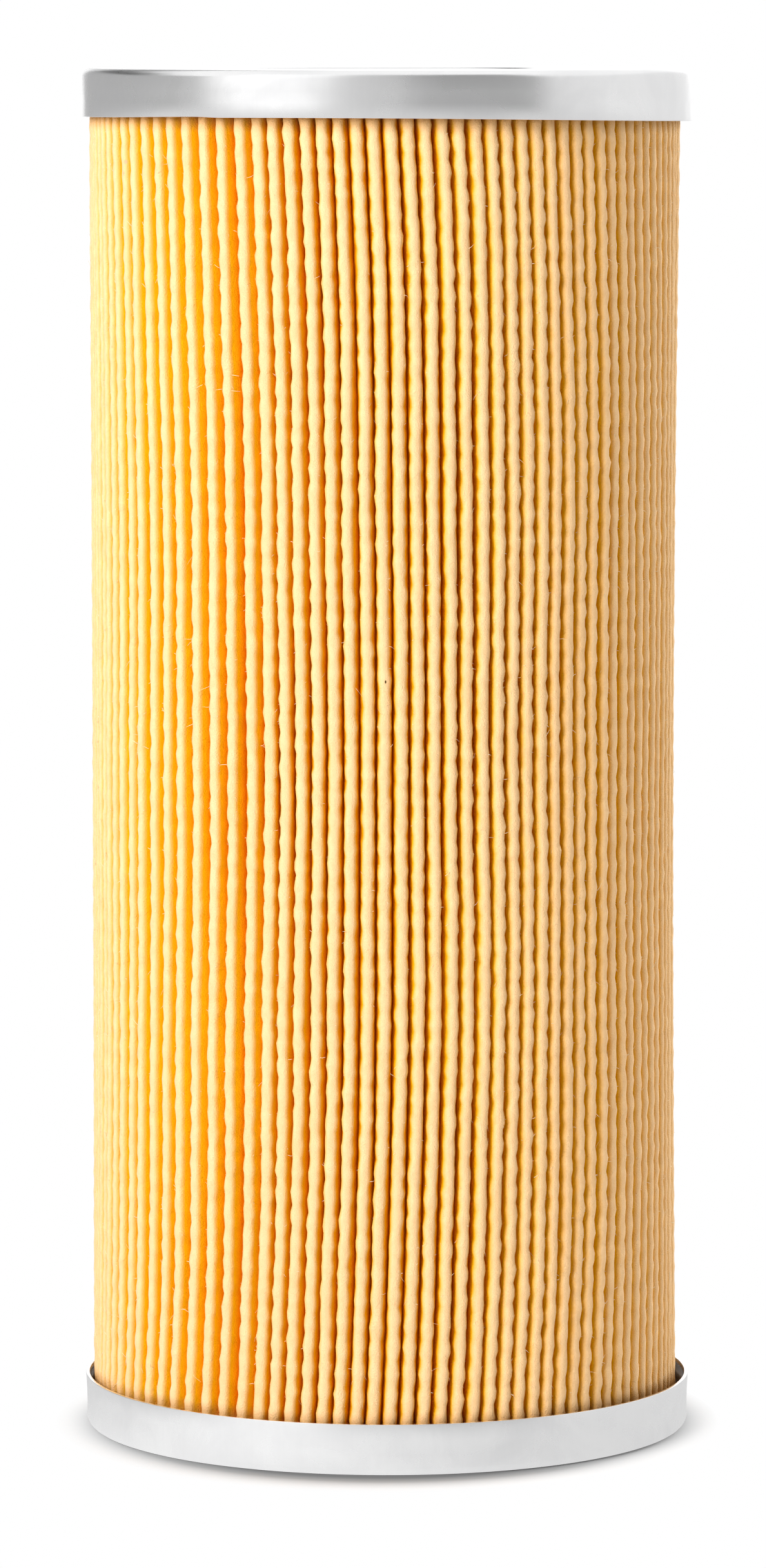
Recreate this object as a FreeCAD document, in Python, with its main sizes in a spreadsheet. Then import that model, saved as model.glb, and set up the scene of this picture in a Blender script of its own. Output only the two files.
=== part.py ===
import FreeCAD, Part
import math
import os

import Sketcher
from FreeCAD import Placement, Rotation, Vector

# Hydraulic filter element: a pleated paper pack round a slotted steel centre tube, glued
# into two pressed sheet-metal end caps, with a rubber bush in the hole of each cap.
# It stands upright on its bottom cap. +Z is up and the origin is the centre of its foot.
# The seam of the paper is at the back, on +Y. All sizes are in millimetres.

SIZES = [
    ("element_height", "223.5", "overall height over both end caps"),
    ("rim_radius", "50", "outside of the end cap's skirt"),
    ("skirt_height", "8.5", "height of the end cap's skirt"),
    ("cap_sheet", "0.6", "sheet of the end caps"),
    ("corner_radius", "1.8", "outside bend between plate and skirt"),
    ("collar_radius", "24.6", "outside of the collar drawn round the hole"),
    ("collar_depth", "8.5", "height of the collar from the outer face"),
    ("tube_fit", "0.1", "room between collar and centre tube, on the radius"),
    ("tube_wall", "0.8", "sheet of the centre tube"),
    ("slot_columns", "6", "slots round the centre tube"),
    ("slot_rows", "3", "slots along the centre tube"),
    ("slot_width", "6", "width of a slot, round the tube"),
    ("slot_length", "46", "length of a slot, along the tube"),
    ("slot_margin", "22", "end of the tube to the nearest slot"),
    ("glue_depth", "4", "depth of the adhesive in each cap"),
    ("bush_wall", "4", "rubber between the collar and the housing's spigot"),
    ("bush_length", "7", "length of the rubber bush"),
    ("bush_recess", "0.6", "outer face of the cap to the bush"),
    ("skirt_gap", "1.2", "room between the skirt and the crowns of the pleats"),
    ("media_fit", "0.3", "room between centre tube and inner folds"),
    ("fold_gap", "0.085", "least room between neighbouring folds at the tube"),
    ("paper_thickness", "0.7", "paper, measured over its corrugation"),
    ("ridge_width", "1.8", "width of a pleat just under its crown"),
    ("crown_rise", "0.5", "height of the rounded crown of a pleat"),
    ("inner_flat", "0.7", "width of the flat on an inner fold"),
    ("seam_glue", "0.1", "glue line between the two ends of the paper"),
    ("clip_sheet", "0.35", "sheet of the seam clip"),
    ("clip_depth", "5", "how far the clip reaches down the pleat"),
    ("clip_fit", "0.05", "room between the clip and the paper"),
]

# What follows from the sizes above, as formulas of their cells. The bend of a cap is drawn as
# two short cones that meet at the middle of its round, 45 degrees up.
PLACES = [
    ("bend_start", "=sizes.rim_radius - sizes.corner_radius"),
    ("bend_middle_radius", "=bend_start + sizes.corner_radius * sin(45)"),
    ("bend_middle_height", "=sizes.corner_radius * (1 - cos(45))"),
    ("inner_radius", "=sizes.rim_radius - sizes.cap_sheet"),
    ("hole_radius", "=sizes.collar_radius - sizes.cap_sheet"),
    ("tube_bore", "=sizes.collar_radius + sizes.tube_fit"),
    ("tube_radius", "=tube_bore + sizes.tube_wall"),
    ("tube_length", "=sizes.element_height - 2 * sizes.cap_sheet"),
    ("slot_bottom", "=sizes.cap_sheet + sizes.slot_margin"),
    ("slot_span", "=tube_length - 2 * sizes.slot_margin - sizes.slot_length"),
    ("glue_top", "=sizes.cap_sheet + sizes.glue_depth"),
    ("bush_bore_radius", "=hole_radius - sizes.bush_wall"),
    ("bush_top", "=sizes.bush_recess + sizes.bush_length"),
    ("media_length", "=sizes.element_height - 2 * glue_top"),
    ("media_radius", "=inner_radius - sizes.skirt_gap"),
    ("inner_fold_radius", "=tube_radius + sizes.media_fit"),
    ("valley_radius", "=inner_fold_radius + sizes.paper_thickness"),
    ("pleat_count", "=floor(2 * pi * valley_radius / (2 * sizes.paper_thickness + sizes.fold_gap))"),
    ("seam_half", "=sizes.paper_thickness + sizes.seam_glue / 2"),
    ("clip_slot", "=2 * seam_half + 2 * sizes.clip_fit"),
    ("clip_width", "=clip_slot + 2 * sizes.clip_sheet"),
    ("clip_foot", "=media_radius - sizes.clip_depth"),
    ("paper_end", "=media_radius - sizes.clip_sheet - sizes.clip_fit"),
]

doc = FreeCAD.newDocument("hydraulic_filter")


def fill(name, rows):
    """A spreadsheet with one named value in each row."""
    sheet = doc.addObject("Spreadsheet::Sheet", name)
    for line, row in enumerate(rows, start=1):
        sheet.set(f"A{line}", row[0])
        sheet.set(f"B{line}", row[1])
        sheet.setAlias(f"B{line}", row[0])
        if len(row) > 2:
            sheet.set(f"C{line}", row[2])
    doc.recompute()
    return sheet


sizes = fill("sizes", SIZES)
places = fill("places", PLACES)


def cell(alias):
    """Where an alias is kept, as an expression names it."""
    sheet = "sizes" if alias in [row[0] for row in SIZES] else "places"
    return f"{sheet}.{alias}"


def value(alias):
    """The number that an alias holds now."""
    return float(getattr(doc.getObject(cell(alias).split(".")[0]), alias))


def origin_part(body, role):
    """One of a body's own origin planes or axes."""
    return next(part for part in body.Origin.OriginFeatures if part.Role == role)


def attached_sketch(body, name, plane):
    sketch = body.newObject("Sketcher::SketchObject", name)
    sketch.AttachmentSupport = [(origin_part(body, plane), "")]
    sketch.MapMode = "FlatFace"
    return sketch


def polygon_sketch(body, name, corners):
    """A closed outline in the XZ plane. Each corner is the two aliases of its radius and height,
    or None for a height of zero."""
    sketch = attached_sketch(body, name, "XZ_Plane")
    points = [Vector(value(x), value(z) if z else 0, 0) for x, z in corners]
    for i, point in enumerate(points):
        sketch.addGeometry(Part.LineSegment(point, points[(i + 1) % len(points)]), False)
    for i, (x, z) in enumerate(corners):
        before = (i - 1) % len(corners)
        sketch.addConstraint(Sketcher.Constraint("Coincident", before, 2, i, 1))
        across = sketch.addConstraint(Sketcher.Constraint("DistanceX", -1, 1, i, 1, points[i].x))
        sketch.setExpression(f"Constraints[{across}]", cell(x))
        if z:
            up = sketch.addConstraint(Sketcher.Constraint("DistanceY", -1, 1, i, 1, points[i].y))
            sketch.setExpression(f"Constraints[{up}]", cell(z))
        else:
            sketch.addConstraint(Sketcher.Constraint("PointOnObject", i, 1, -1))
    return sketch


def turned_body(label, corners):
    """A body turned about Z from an outline."""
    body = doc.addObject("PartDesign::Body", label)
    body.Label = label
    turn = body.newObject("PartDesign::Revolution", f"{label}_turn")
    turn.Profile = polygon_sketch(body, f"{label}_outline", corners)
    turn.ReferenceAxis = (origin_part(body, "Z_Axis"), [""])
    turn.Angle = 360
    doc.recompute()
    return body


def stand_on_top(body):
    """Turns a body of the bottom end over and puts it at the top end."""
    body.Placement = Placement(Vector(0, 0, value("element_height")), Rotation(Vector(1, 0, 0), 180))
    body.setExpression("Placement.Base.z", cell("element_height"))


def end_cap(label):
    """A trough drawn from one round of sheet. Its outer skirt stands round the ends of the
    pleats, and its inner collar centres the tube and makes the bore."""
    return turned_body(
        label,
        [
            ("hole_radius", None),
            ("bend_start", None),
            ("bend_middle_radius", "bend_middle_height"),
            ("rim_radius", "corner_radius"),
            ("rim_radius", "skirt_height"),
            ("inner_radius", "skirt_height"),
            ("inner_radius", "corner_radius"),
            ("bend_start", "cap_sheet"),
            ("collar_radius", "cap_sheet"),
            ("collar_radius", "collar_depth"),
            ("hole_radius", "collar_depth"),
        ],
    )


def glue_ring(label):
    """The adhesive that the ends of the pleats stand in, filling the trough from skirt to tube."""
    return turned_body(
        label,
        [
            ("tube_radius", "cap_sheet"),
            ("bend_start", "cap_sheet"),
            ("inner_radius", "corner_radius"),
            ("inner_radius", "glue_top"),
            ("tube_radius", "glue_top"),
        ],
    )


def rubber_bush(label):
    """The seal bonded into a cap's collar, which grips the spigot of the filter housing."""
    return turned_body(
        label,
        [
            ("bush_bore_radius", "bush_recess"),
            ("hole_radius", "bush_recess"),
            ("hole_radius", "bush_top"),
            ("bush_bore_radius", "bush_top"),
        ],
    )


def centre_tube(label):
    """The core that keeps the pleats from collapsing, rolled from slotted sheet. It stands
    between the plates of the two caps, over their collars."""
    body = doc.addObject("PartDesign::Body", label)
    body.Label = label
    ring = attached_sketch(body, f"{label}_ring", "XY_Plane")
    ring.setExpression("AttachmentOffset.Base.z", cell("cap_sheet"))
    for i, alias in enumerate(("tube_bore", "tube_radius")):
        ring.addGeometry(Part.Circle(Vector(), Vector(0, 0, 1), value(alias)), False)
        ring.addConstraint(Sketcher.Constraint("Coincident", i, 3, -1, 1))
        radius = ring.addConstraint(Sketcher.Constraint("Radius", i, value(alias)))
        ring.setExpression(f"Constraints[{radius}]", cell(alias))
    wall = body.newObject("PartDesign::Pad", f"{label}_wall")
    wall.Profile = ring
    wall.setExpression("Length", cell("tube_length"))
    doc.recompute()

    slot = attached_sketch(body, f"{label}_slot_outline", "XZ_Plane")
    half, low = value("slot_width") / 2, value("slot_bottom")
    high = low + value("slot_length")
    corners = [Vector(-half, low, 0), Vector(half, low, 0), Vector(half, high, 0), Vector(-half, high, 0)]
    for i, point in enumerate(corners):
        slot.addGeometry(Part.LineSegment(point, corners[(i + 1) % 4]), False)
    for i in range(4):
        slot.addConstraint(Sketcher.Constraint("Coincident", i, 2, (i + 1) % 4, 1))
    for kind, line in (("Vertical", 1), ("Horizontal", 2), ("Vertical", 3)):
        slot.addConstraint(Sketcher.Constraint(kind, line))
    slot.addConstraint(Sketcher.Constraint("Symmetric", 0, 1, 0, 2, -2))
    for kind, line, alias in (
        ("DistanceX", 0, "slot_width"),
        ("DistanceY", 1, "slot_length"),
    ):
        size = slot.addConstraint(Sketcher.Constraint(kind, line, 1, line, 2, value(alias)))
        slot.setExpression(f"Constraints[{size}]", cell(alias))
    start = slot.addConstraint(Sketcher.Constraint("DistanceY", -1, 1, 0, 1, low))
    slot.setExpression(f"Constraints[{start}]", cell("slot_bottom"))
    cut = body.newObject("PartDesign::Pocket", f"{label}_slot")
    cut.Profile = slot
    cut.setExpression("Length", f"{cell('tube_radius')} + {cell('tube_wall')}")
    doc.recompute()

    along = body.newObject("PartDesign::LinearPattern", f"{label}_rows")
    along.Direction = (origin_part(body, "Z_Axis"), [""])
    along.setExpression("Length", cell("slot_span"))
    along.setExpression("Occurrences", cell("slot_rows"))
    round_tube = body.newObject("PartDesign::PolarPattern", f"{label}_columns")
    round_tube.Axis = (origin_part(body, "Z_Axis"), [""])
    round_tube.Angle = 360
    round_tube.setExpression("Occurrences", cell("slot_columns"))
    slots = body.newObject("PartDesign::MultiTransform", f"{label}_slots")
    slots.Originals = [cut]
    slots.Transformations = [along, round_tube]
    body.Tip = slots
    doc.recompute()
    if not slots.Shape.Volume < cut.Shape.Volume < wall.Shape.Volume:
        raise RuntimeError("The slots did not cut the tube")
    return body


def at(radius, across, angle):
    """The point this far out, and this far across the pleat that stands at the angle."""
    out = Vector(math.cos(angle), math.sin(angle), 0)
    side = Vector(-math.sin(angle), math.cos(angle), 0)
    return out * radius + side * across


CROWN_CHORDS = 3


def filter_media(label):
    """One long sheet of paper, folded into pleats and closed to a ring. Its section is a single
    zigzag band: out along the upstream face, back along the downstream face."""
    count = round(value("pleat_count"))
    pitch = 2 * math.pi / count
    seam_angle = math.pi / 2
    crown, valley, inner = value("media_radius"), value("valley_radius"), value("inner_fold_radius")
    thickness, half_ridge, rise = value("paper_thickness"), value("ridge_width") / 2, value("crown_rise")
    half_flat = value("inner_flat") / 2
    half_glue, half_seam = value("seam_glue") / 2, value("seam_half")
    end = value("paper_end")
    half_gap = valley * math.sin(pitch / 2) - thickness

    # The crown is an arc over the two sides of the ridge, drawn as equal chords.
    arc_radius = (half_ridge**2 + rise**2) / (2 * rise)
    half_sweep = math.asin(half_ridge / arc_radius)
    arc_centre = crown - arc_radius
    crown_points = []
    for step in range(CROWN_CHORDS + 1):
        turn = half_sweep * (2 * step / CROWN_CHORDS - 1)
        crown_points.append((arc_centre + arc_radius * math.cos(turn), arc_radius * math.sin(turn)))

    edges = []
    here = start = at(end, half_seam, seam_angle)

    def line_to(point):
        nonlocal here
        edges.append(Part.makeLine(here, point))
        here = point

    for pleat in range(1, count):
        angle = seam_angle + pleat * pitch
        line_to(at(valley, 0, angle - pitch / 2))
        for radius, across in crown_points:
            line_to(at(radius, across, angle))
    line_to(at(valley, 0, seam_angle - pitch / 2))
    line_to(at(end, -half_seam, seam_angle))
    line_to(at(end, -half_glue, seam_angle))
    for pleat in range(count, 0, -1):
        angle = seam_angle + pleat * pitch
        if pleat < count:
            line_to(at(crown - thickness, 0, angle))
        line_to(at(valley, -half_gap, angle))
        line_to(at(inner, half_flat, angle - pitch / 2))
        line_to(at(inner, -half_flat, angle - pitch / 2))
        line_to(at(valley, half_gap, angle - pitch))
    line_to(at(end, half_glue, seam_angle))
    line_to(start)

    section = Part.Face(Part.Wire(edges))
    media = doc.addObject("Part::Feature", label)
    media.Label = label
    media.Shape = section.extrude(Vector(0, 0, value("media_length")))
    media.Placement = Placement(Vector(0, 0, value("glue_top")), Rotation())
    return media


def seam_clip(label):
    """A strip of sheet folded to a narrow channel and crimped over the two ends of the paper."""
    outside = doc.addObject("Part::Box", f"{label}_outside")
    inside = doc.addObject("Part::Box", f"{label}_inside")
    for box, width in ((outside, "clip_width"), (inside, "clip_slot")):
        box.setExpression("Length", cell(width))
        box.setExpression("Width", cell("clip_depth"))
        box.setExpression("Height", cell("media_length"))
        box.setExpression("Placement.Base.x", f"-{cell(width)} / 2")
        box.setExpression("Placement.Base.z", cell("glue_top"))
    outside.setExpression("Placement.Base.y", cell("clip_foot"))
    inside.setExpression("Placement.Base.y", f"{cell('clip_foot')} - {cell('clip_sheet')}")
    clip = doc.addObject("Part::Cut", label)
    clip.Label = label
    clip.Base = outside
    clip.Tool = inside
    return clip


pieces = [
    end_cap("bottom_end_cap"),
    end_cap("top_end_cap"),
    glue_ring("bottom_glue"),
    glue_ring("top_glue"),
    rubber_bush("bottom_bush"),
    rubber_bush("top_bush"),
    centre_tube("centre_tube"),
    filter_media("filter_media"),
    seam_clip("seam_clip"),
]
for piece in pieces:
    if piece.Label.startswith("top_"):
        stand_on_top(piece)
doc.recompute()

failed = [item.Label for item in doc.Objects if {"Invalid", "Error"} & set(item.State)]
for piece in pieces:
    if piece.Shape.isNull() or not piece.Shape.isValid() or len(piece.Shape.Solids) != 1:
        failed.append(piece.Label)
if failed:
    raise RuntimeError("These did not build: " + ", ".join(failed))

os.makedirs("parts", exist_ok=True)
for piece in pieces:
    piece.Shape.exportStep(f"parts/{piece.Label}.step")
    box = piece.Shape.BoundBox
    print(f"{piece.Label}: {piece.Shape.Volume:.1f} mm3, z {box.ZMin:.2f} to {box.ZMax:.2f}")
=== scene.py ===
import math
import random

import bmesh
import bpy
import numpy as np
from mathutils import Matrix, Vector


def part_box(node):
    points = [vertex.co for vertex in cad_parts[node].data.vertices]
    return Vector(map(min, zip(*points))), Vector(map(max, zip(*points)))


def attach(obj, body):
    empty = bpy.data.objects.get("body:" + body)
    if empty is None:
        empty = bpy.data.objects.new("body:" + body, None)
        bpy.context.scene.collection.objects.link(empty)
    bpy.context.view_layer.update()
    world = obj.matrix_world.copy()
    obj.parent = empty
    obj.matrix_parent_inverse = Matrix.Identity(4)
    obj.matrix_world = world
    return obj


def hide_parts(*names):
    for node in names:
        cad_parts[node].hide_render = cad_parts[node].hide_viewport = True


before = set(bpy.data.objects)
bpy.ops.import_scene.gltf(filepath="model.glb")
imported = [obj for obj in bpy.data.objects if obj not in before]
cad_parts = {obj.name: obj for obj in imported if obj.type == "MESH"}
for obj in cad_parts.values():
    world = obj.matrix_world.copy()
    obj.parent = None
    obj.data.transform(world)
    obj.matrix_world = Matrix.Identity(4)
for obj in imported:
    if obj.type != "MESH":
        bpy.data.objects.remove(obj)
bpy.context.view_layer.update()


# End caps. Each is a trough pressed from one round of bright tinned sheet: a plate, a skirt round
# the ends of the pleats, and a collar turned in round the bore. The bottom skirt opens slightly at
# its edge. The top one was trimmed unevenly and has a small knock in its edge.
MM = 0.001
ELEMENT_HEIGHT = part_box("top_end_cap")[1].z / MM
SHEET = 0.6
SKIRT_RADIUS = 49.74
RIM_RADIUS = 49.94
SKIRT_HEIGHT = 8.5
SKIRT_BEND = 3.4
WAIST_HEIGHT = 5.6
WAIST_DEPTH = 0.06
PLATE_RADIUS = 37.0
COLLAR_BORE = 24.0
CAP_STEPS = 240
TIGHT_BEND = 0.5
TIGHT_BEND_STEPS = 3
WIDE_BEND_STEPS = 7

SKIRT_ZONE = 40.0
TRIM_FROM = 2.0
BULGE_FROM = 3.0
KNOCK_AT = -35.0
KNOCK_DEPTH = 0.15
KNOCK_EDGE = 0.8
KNOCK_LENGTH = 22.0

PLATE_FACING = 0.7
LINE_STRETCH = 0.03
LINES_SHARE = 0.2


def add_node(tree, kind, inputs=None, **settings):
    """Places one node. An input is given a value, or the socket that feeds it."""
    node = tree.nodes.new(kind)
    for name, setting in settings.items():
        setattr(node, name, setting)
    for socket, value in (inputs or {}).items():
        if isinstance(value, bpy.types.NodeSocket):
            tree.links.new(value, node.inputs[socket])
        else:
            node.inputs[socket].default_value = value
    return node


def reckon(tree, operation, *terms):
    """One step of arithmetic on plain values. Each term is a number or a socket."""
    inputs = dict(enumerate(terms))
    return add_node(tree, "ShaderNodeMath", inputs, operation=operation).outputs[0]


def reckon_vector(tree, operation, *terms):
    """One step of arithmetic on vectors. A length comes out as a plain value."""
    inputs = dict(enumerate(terms))
    outputs = add_node(tree, "ShaderNodeVectorMath", inputs, operation=operation).outputs
    return outputs["Value"] if operation == "LENGTH" else outputs[0]


def spread(tree, value, low, high, to_low=0.0, to_high=1.0):
    """A value from one range brought into another, clamped."""
    inputs = {0: value, 1: low, 2: high, 3: to_low, 4: to_high}
    return add_node(tree, "ShaderNodeMapRange", inputs).outputs[0]


def tone(tree, factor, first, second):
    """A colour between two others, as far as the factor says. Each is a colour or a socket."""
    inputs = {0: factor}
    for socket, colour in ((6, first), (7, second)):
        inputs[socket] = colour if isinstance(colour, bpy.types.NodeSocket) else (*colour, 1.0)
    return add_node(tree, "ShaderNodeMix", inputs, data_type="RGBA").outputs[2]


def noise(tree, place, scale, detail, roughness=0.5, distortion=0.0):
    """A cloudy pattern that swings round one half."""
    inputs = {"Vector": place, "Scale": scale, "Detail": detail}
    inputs.update({"Roughness": roughness, "Distortion": distortion})
    return add_node(tree, "ShaderNodeTexNoise", inputs).outputs[0]


def add_relief(tree, shader, strength, depth, height):
    """Roughens a finish with a bump that is so many mm deep."""
    inputs = {"Strength": strength, "Distance": depth * MM, "Height": height}
    bump = add_node(tree, "ShaderNodeBump", inputs)
    tree.links.new(bump.outputs[0], shader.inputs["Normal"])


def empty_tree(owner):
    """Switches on the nodes of a material or a world and clears them."""
    owner.use_nodes = True
    owner.node_tree.nodes.clear()
    return owner.node_tree


def start_finish(name, **shader_values):
    """A material with its shader, and the Object coordinates that its patterns read."""
    material = bpy.data.materials.new(name)
    tree = empty_tree(material)
    shader = add_node(tree, "ShaderNodeBsdfPrincipled")
    for socket, value in shader_values.items():
        shader.inputs[socket.replace("_", " ")].default_value = value
    add_node(tree, "ShaderNodeOutputMaterial", {"Surface": shader.outputs["BSDF"]})
    place = add_node(tree, "ShaderNodeTexCoord").outputs["Object"]
    return material, tree, shader, place


def start_group(name, scale_name, scale, results):
    """An empty node group that takes a place and a scale, with what it is given and gives back."""
    group = bpy.data.node_groups.new(name, "ShaderNodeTree")
    sockets = group.interface
    sockets.new_socket(name="Place", in_out="INPUT", socket_type="NodeSocketVector")
    taken = sockets.new_socket(name=scale_name, in_out="INPUT", socket_type="NodeSocketFloat")
    taken.default_value = scale
    for result in results:
        sockets.new_socket(name=result, in_out="OUTPUT", socket_type="NodeSocketFloat")
    given = group.nodes.new("NodeGroupInput").outputs
    return group, given, group.nodes.new("NodeGroupOutput").inputs


def use_group(tree, group, inputs):
    """Places a node group in a material with that material's own values."""
    return add_node(tree, "ShaderNodeGroup", inputs, node_tree=group).outputs


# Rolling and drawing leave fine lines in sheet metal: upright on a skirt or a wall, and all one
# way on a plate. Handling leaves soft smudges over them.
sheet_grain, given, result = start_group(
    "sheet_grain", "Lines Per Metre", 2200.0, ["Lines", "Smudges", "Height"]
)
facing = add_node(sheet_grain, "ShaderNodeTexCoord").outputs["Normal"]
facing_up = add_node(sheet_grain, "ShaderNodeSeparateXYZ", {0: facing}).outputs[2]
facing_up = reckon(sheet_grain, "ABSOLUTE", facing_up)
on_plate = reckon(sheet_grain, "GREATER_THAN", facing_up, PLATE_FACING)
upright = reckon_vector(sheet_grain, "MULTIPLY", given["Place"], (1.0, 1.0, LINE_STRETCH))
one_way = reckon_vector(sheet_grain, "MULTIPLY", given["Place"], (LINE_STRETCH, 1.0, 1.0))
along_lines = add_node(
    sheet_grain, "ShaderNodeMix", {0: on_plate, 4: upright, 5: one_way}, data_type="VECTOR"
).outputs[1]
lines = noise(sheet_grain, along_lines, given["Lines Per Metre"], 3.0, 0.65)
smudges = noise(sheet_grain, given["Place"], 70.0, 5.0, 0.6, 0.6)
pits = noise(sheet_grain, given["Place"], 6000.0, 2.0)
sheet_grain.links.new(spread(sheet_grain, lines, 0.3, 0.7), result["Lines"])
sheet_grain.links.new(spread(sheet_grain, smudges, 0.36, 0.64), result["Smudges"])
sheet_grain.links.new(reckon(sheet_grain, "MULTIPLY_ADD", pits, 0.5, lines), result["Height"])


def steel_finish(name, dark, light, rough, lines_per_metre, depth):
    """Bare sheet steel: two close greys, drawn lines, and smudges that dull it in patches."""
    material, tree, shader, place = start_finish(name, Metallic=1.0, Roughness=rough)
    grain = use_group(tree, sheet_grain, {"Place": place, "Lines Per Metre": lines_per_metre})
    share = reckon(tree, "MULTIPLY_ADD", grain["Lines"], LINES_SHARE, grain["Smudges"])
    greys = tone(tree, spread(tree, share, 0.0, 1 + LINES_SHARE), dark, light)
    tree.links.new(greys, shader.inputs["Base Color"])
    dulled = spread(tree, grain["Smudges"], 0.0, 1.0, rough + 0.05, rough - 0.04)
    tree.links.new(dulled, shader.inputs["Roughness"])
    add_relief(tree, shader, 0.35, depth, grain["Height"])
    return material


def draw_outline(mesh, spots, roundings, unit):
    """Draws a closed outline in edges and rounds each corner by its own radius in mm. The unit is
    what a mm measures in the mesh."""
    corners = [mesh.verts.new(spot) for spot in spots]
    for corner, following in zip(corners, corners[1:] + corners[:1]):
        mesh.edges.new((corner, following))
    for corner, rounding in zip(corners, roundings):
        if rounding:
            bmesh.ops.bevel(
                mesh,
                geom=[corner],
                offset=rounding * unit,
                offset_type="OFFSET",
                segments=WIDE_BEND_STEPS if rounding > TIGHT_BEND else TIGHT_BEND_STEPS,
                profile=0.5,
                affect="VERTICES",
                material=-1,
            )


def turned_ring(outline, steps):
    """Spins a closed outline round the axis. Each corner is (radius, height, rounding) in mm."""
    mesh = bmesh.new()
    spots = [(radius * MM, 0.0, height * MM) for radius, height, rounding in outline]
    draw_outline(mesh, spots, [rounding for radius, height, rounding in outline], MM)
    bmesh.ops.spin(
        mesh,
        geom=mesh.verts[:] + mesh.edges[:],
        axis=(0.0, 0.0, 1.0),
        angle=2 * math.pi,
        steps=steps,
        use_merge=True,
    )
    return mesh


def stand_upside_down(mesh):
    """Turns a piece of the bottom end over and puts it at the top end."""
    bmesh.ops.rotate(mesh, verts=mesh.verts[:], matrix=Matrix.Rotation(math.pi, 3, "Y"))
    bmesh.ops.translate(mesh, verts=mesh.verts[:], vec=(0.0, 0.0, ELEMENT_HEIGHT * MM))


def make_object(name, mesh, material):
    """Puts a finished mesh into the scene as an object of one material."""
    data = bpy.data.meshes.new(name)
    mesh.to_mesh(data)
    mesh.free()
    data.materials.append(material)
    made = bpy.data.objects.new(name, data)
    bpy.context.scene.collection.objects.link(made)
    return made


def finished_piece(name, mesh, material, solid):
    """Makes a smooth object with its faces outwards, hangs it on the root and hides the solid it stands
    for.
    """
    bmesh.ops.recalc_face_normals(mesh, faces=mesh.faces[:])
    piece = make_object(name, mesh, material)
    piece.data.polygons.foreach_set("use_smooth", [True] * len(piece.data.polygons))
    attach(piece, "root")
    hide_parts(solid)
    return piece


def turn_from_front(x, y):
    """The angle round the axis: nothing at the front, growing to the right."""
    return math.atan2(x, -y)


def skirt_outline(rim):
    """The cap's section. The skirt is slightly hollow part of the way up."""
    low_inside, rim_inside = SKIRT_RADIUS - SHEET, rim - SHEET
    return [
        (COLLAR_BORE, 0.0, 0.9),
        (PLATE_RADIUS, 0.0, 0.0),
        (SKIRT_RADIUS, 0.0, 1.3),
        (SKIRT_RADIUS, SKIRT_BEND, 0.0),
        ((SKIRT_RADIUS + rim) / 2 - WAIST_DEPTH, WAIST_HEIGHT, 0.0),
        (rim, SKIRT_HEIGHT, 0.08),
        (rim_inside, SKIRT_HEIGHT, 0.08),
        ((low_inside + rim_inside) / 2 - WAIST_DEPTH, WAIST_HEIGHT, 0.0),
        (low_inside, SKIRT_BEND, 0.0),
        (low_inside, SHEET, 0.7),
        (PLATE_RADIUS, SHEET, 0.0),
        (COLLAR_BORE + SHEET, SHEET, 0.3),
        (COLLAR_BORE + SHEET, SKIRT_HEIGHT, 0.14),
        (COLLAR_BORE, SKIRT_HEIGHT, 0.14),
    ]


def bottom_trim(turn):
    """How much is missing from the bottom skirt's edge, in mm."""
    return 0.05 + 0.04 * math.cos(2 * turn + 0.6)


def top_trim(turn):
    """How much is missing from the top skirt's edge, in mm: most at the front, with the knock.
    The top cap is trimmed while it is upside down, so its left and right are changed over."""
    turn = -turn
    even = 0.60 + 0.15 * math.cos(turn) - 0.32 * math.sin(turn) + 0.27 * math.cos(2 * turn)
    past_knock = math.degrees(turn) - KNOCK_AT
    knock = KNOCK_DEPTH / (1 + math.exp(past_knock / KNOCK_EDGE))
    return even + knock * math.exp(-(past_knock / KNOCK_LENGTH) ** 2)


def pressed_cap(rim, trim, waves):
    """Spins a cap, trims its skirt and takes it slightly out of round as the press leaves it.
    Each wave is its count round the skirt, its height in mm and its start."""
    mesh = turned_ring(skirt_outline(rim), CAP_STEPS)
    for vert in mesh.verts:
        radius = math.hypot(vert.co.x, vert.co.y) / MM
        if radius < SKIRT_ZONE:
            continue
        height = vert.co.z / MM
        turn = turn_from_front(vert.co.x, vert.co.y)
        up = max(0.0, height - TRIM_FROM) / (SKIRT_HEIGHT - TRIM_FROM)
        vert.co.z -= trim(turn) * up * MM
        bulge = sum(size * math.cos(count * turn + start) for count, size, start in waves)
        factor = 1 + bulge * min(1.0, height / BULGE_FROM) / radius
        vert.co.x *= factor
        vert.co.y *= factor
    return mesh


tinned_sheet = steel_finish(
    "tinned_sheet", (0.88, 0.88, 0.885), (0.95, 0.95, 0.95), 0.28, 2200.0, 0.006
)

bottom_waves = [(2, 0.02, 0.4), (5, 0.008, 1.9), (9, 0.004, 0.7)]
bottom_cap = pressed_cap(RIM_RADIUS, bottom_trim, bottom_waves)
finished_piece("bottom_cap", bottom_cap, tinned_sheet, "bottom_end_cap")

top_waves = [(2, 0.015, 2.0), (6, 0.010, 0.3), (11, 0.005, 1.1)]
top_cap = pressed_cap(SKIRT_RADIUS, top_trim, top_waves)
stand_upside_down(top_cap)
finished_piece("top_cap", top_cap, tinned_sheet, "top_end_cap")


# Potting adhesive. The ends of the pleats stand in it while it is wet. It fills each trough from
# the skirt to the tube and sets with an uneven skin, a little higher at the tube. A dark film of it
# runs far up the skirt's inner wall as painted shade inside the rim.
GLUE_TOP = 4.6
TUBE_RADIUS = 25.5
SHADE_FILM_RADIUS = 49.10
POTTING_STEPS = 180
SKIN_FROM = 3.0
SKIN_SWELL = 0.12

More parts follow.
